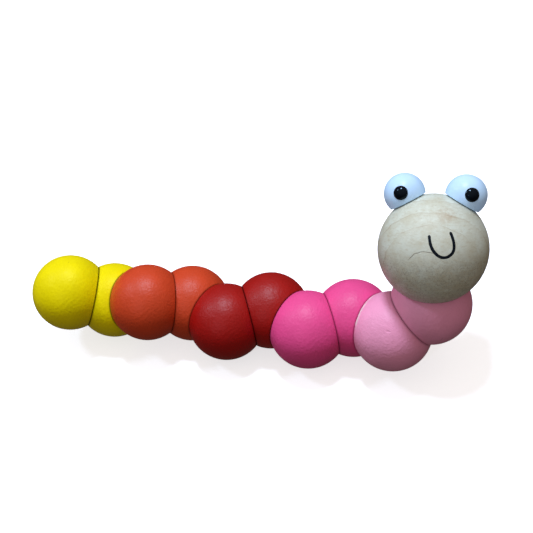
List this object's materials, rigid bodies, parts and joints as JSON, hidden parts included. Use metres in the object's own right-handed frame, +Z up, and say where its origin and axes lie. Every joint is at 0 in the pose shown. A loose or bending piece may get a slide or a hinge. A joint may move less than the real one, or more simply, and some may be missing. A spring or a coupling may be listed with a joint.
{
  "type": "twist worm toy",
  "caption": "Wooden twist worm: flat-faced balls in five paint colours turn on one elastic cord behind a plain wood head with two bulging eyes.",
  "frame": {"origin": "on the table, under the middle of the worm's box, as it stands with five balls flat on the table", "axes": "+X along the row from tail to head, +Z up, -Y the side that the face looks to"},
  "size_m": [0.1772, 0.0478, 0.0736],
  "materials": {
    "yellow_paint": "satin paint over wood",
    "orange_paint": "satin paint over wood",
    "red_paint": "satin paint over wood",
    "magenta_paint": "satin paint over wood",
    "pink_paint": "satin paint over wood",
    "head_wood": "sanded pale wood under a thin clear wax",
    "eye_white": "gloss white paint over wood",
    "face_black": "gloss",
    "elastic_cord": "woven cover over rubber",
    "dowel_wood": "bare"
  },
  "bodies": {
    "segment_01": {"ball_01_yellow": "yellow_paint", "cord_span_01": "elastic_cord", "tail_knot": "elastic_cord", "tail_plug": "yellow_paint"},
    "segment_02": {"ball_02_yellow": "yellow_paint", "cord_span_02": "elastic_cord"},
    "segment_03": {"ball_03_orange": "orange_paint", "cord_span_03": "elastic_cord"},
    "segment_04": {"ball_04_orange": "orange_paint", "cord_span_04": "elastic_cord"},
    "segment_05": {"ball_05_red": "red_paint", "cord_span_05": "elastic_cord"},
    "segment_06": {"ball_06_red": "red_paint", "cord_span_06": "elastic_cord"},
    "segment_07": {"ball_07_magenta": "magenta_paint", "cord_span_07": "elastic_cord"},
    "segment_08": {"ball_08_magenta": "magenta_paint", "cord_span_08": "elastic_cord"},
    "segment_09": {"ball_09_pink": "pink_paint", "cord_span_09": "elastic_cord"},
    "segment_10": {"ball_10_pink": "pink_paint", "cord_span_10": "elastic_cord"},
    "head_body": {"head": "head_wood", "neck_plug": "dowel_wood", "cord_span_11": "elastic_cord", "head_knot": "elastic_cord", "eye_left": "eye_white", "eye_right": "eye_white", "eye_peg_left": "dowel_wood", "eye_peg_right": "dowel_wood", "pupil_left": "face_black", "pupil_right": "face_black"}
  },
  "joints": [
    {"name": "twist_01_02", "type": "hinge", "parent": "segment_02", "child": "segment_01", "pos_m": [-0.06574, -0.00594, 0.01935], "axis": [-0.8726, -0.2479, 0.4208], "continuous": true},
    {"name": "twist_02_03", "type": "hinge", "parent": "segment_03", "child": "segment_02", "pos_m": [-0.04953, -0.00572, 0.01824], "axis": [-0.9282, 0.224, -0.2972], "range_deg": [-140, 140]},
    {"name": "twist_03_04", "type": "hinge", "parent": "segment_04", "child": "segment_03", "pos_m": [-0.03333, -0.00446, 0.01796], "axis": [-0.8712, -0.3648, 0.3284], "range_deg": [-140, 140]},
    {"name": "twist_04_05", "type": "hinge", "parent": "segment_05", "child": "segment_04", "pos_m": [-0.01736, -0.00505, 0.015], "axis": [-0.9026, 0.4305, 0], "range_deg": [-140, 140]},
    {"name": "twist_05_06", "type": "hinge", "parent": "segment_06", "child": "segment_05", "pos_m": [-0.00111, -0.00505, 0.015], "axis": [-0.9026, -0.4305, 0], "range_deg": [-140, 140]},
    {"name": "twist_06_07", "type": "hinge", "parent": "segment_06", "child": "segment_07", "pos_m": [0.01514, -0.00505, 0.015], "axis": [0.9026, -0.4305, 0], "range_deg": [-140, 140]},
    {"name": "twist_07_08", "type": "hinge", "parent": "segment_07", "child": "segment_08", "pos_m": [0.03139, -0.00505, 0.015], "axis": [0.9026, 0.4305, 0], "range_deg": [-140, 140]},
    {"name": "twist_08_09", "type": "hinge", "parent": "segment_08", "child": "segment_09", "pos_m": [0.04755, -0.00486, 0.01669], "axis": [0.8926, -0.4097, 0.188], "range_deg": [-140, 140]},
    {"name": "twist_09_10", "type": "hinge", "parent": "segment_09", "child": "segment_10", "pos_m": [0.06234, -0.00535, 0.0234], "axis": [0.7507, 0.3552, 0.557], "range_deg": [-140, 140]},
    {"name": "neck_turn", "type": "hinge", "parent": "segment_10", "child": "head_body", "pos_m": [0.0691, 0.00016, 0.03711], "axis": [-0.0004, 0.2571, 0.9664], "continuous": true}
  ]
}
